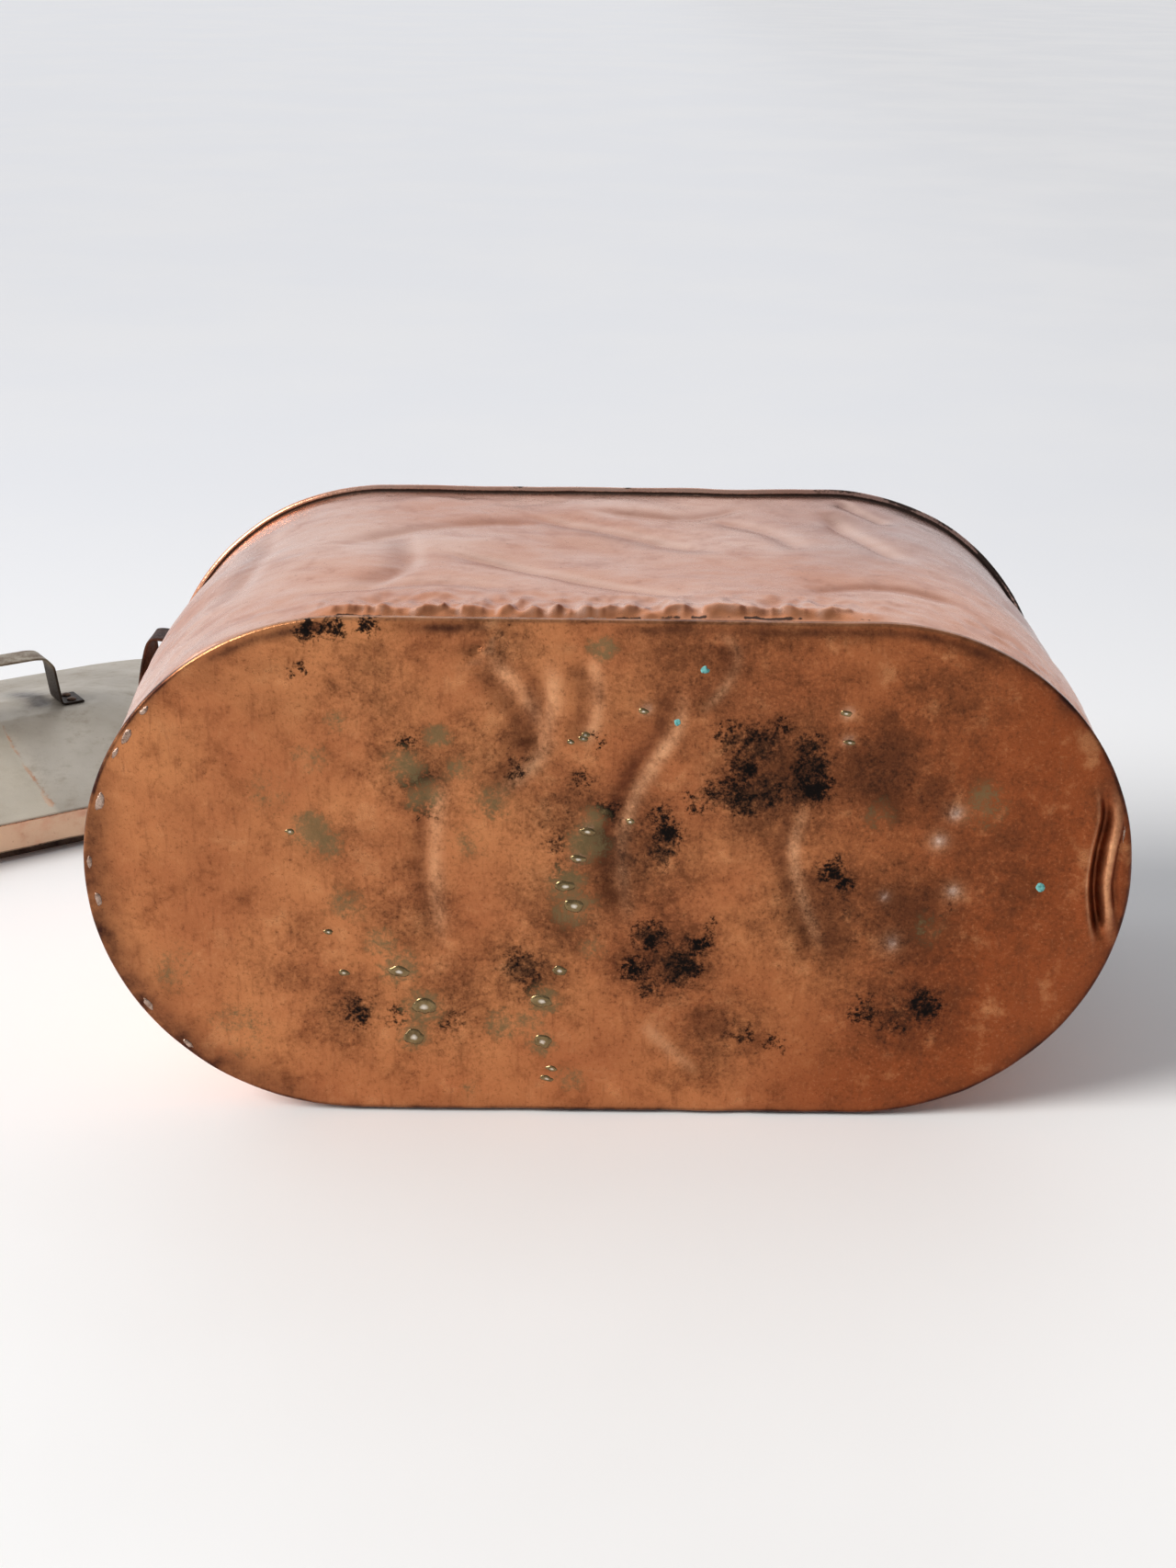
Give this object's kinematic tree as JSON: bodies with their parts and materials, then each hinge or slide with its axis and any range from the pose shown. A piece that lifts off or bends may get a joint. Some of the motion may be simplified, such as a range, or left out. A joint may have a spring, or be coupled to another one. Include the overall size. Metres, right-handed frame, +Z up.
{
  "type": "wash boiler",
  "caption": "Oval copper wash boiler lying on its long side, with a rolled rim, folded bottom hem, strap handle and a loose tin lid beside it.",
  "frame": {"origin": "centre of the outer face of the boiler's flat bottom, which stands upright because the boiler lies on its long side", "axes": "+X along the boiler's length to the right, +Y from the bottom to the mouth, +Z up; the floor is 154.5 mm below the origin"},
  "size_m": [1.0773, 0.7452, 0.309],
  "materials": {
    "copper_bottom": "satin, tarnished and scorched copper",
    "copper_wall": "smooth worn copper",
    "copper_skirt": "dull copper",
    "copper_rivet": "dull copper",
    "tinplate": "dull grey tinned iron with rusty creases",
    "strap_iron": "tinned iron strap, brown with age",
    "iron_wire": "dark iron wire",
    "solder": "dull grey solder"
  },
  "bodies": {
    "boiler": {"bottom_pan": "copper_bottom", "upper_wall": "copper_wall", "lower_wall": "copper_wall", "left_seam_strip": "copper_wall", "right_seam_strip": "copper_wall", "rim_wire": "iron_wire", "bottom_solder": "solder", "solder_spots": "solder", "left_handle": "strap_iron", "left_handle_rivets": "copper_rivet", "left_rivet_burrs": "copper_rivet", "right_upper_foot": "strap_iron", "right_lower_foot": "strap_iron", "right_foot_rivets": "copper_rivet", "right_rivet_burrs": "copper_rivet"},
    "lid": {"lid_top": "tinplate", "lid_skirt": "copper_skirt", "lid_collar": "tinplate", "collar_solder": "solder", "lid_handle": "strap_iron", "lid_handle_rivets": "copper_rivet", "lid_rivet_burrs": "copper_rivet"}
  },
  "joints": [
    {"name": "lid_lift", "type": "slide", "parent": "boiler", "child": "lid", "axis": [0, 0, 1], "range_m": [0, 0.35]}
  ]
}
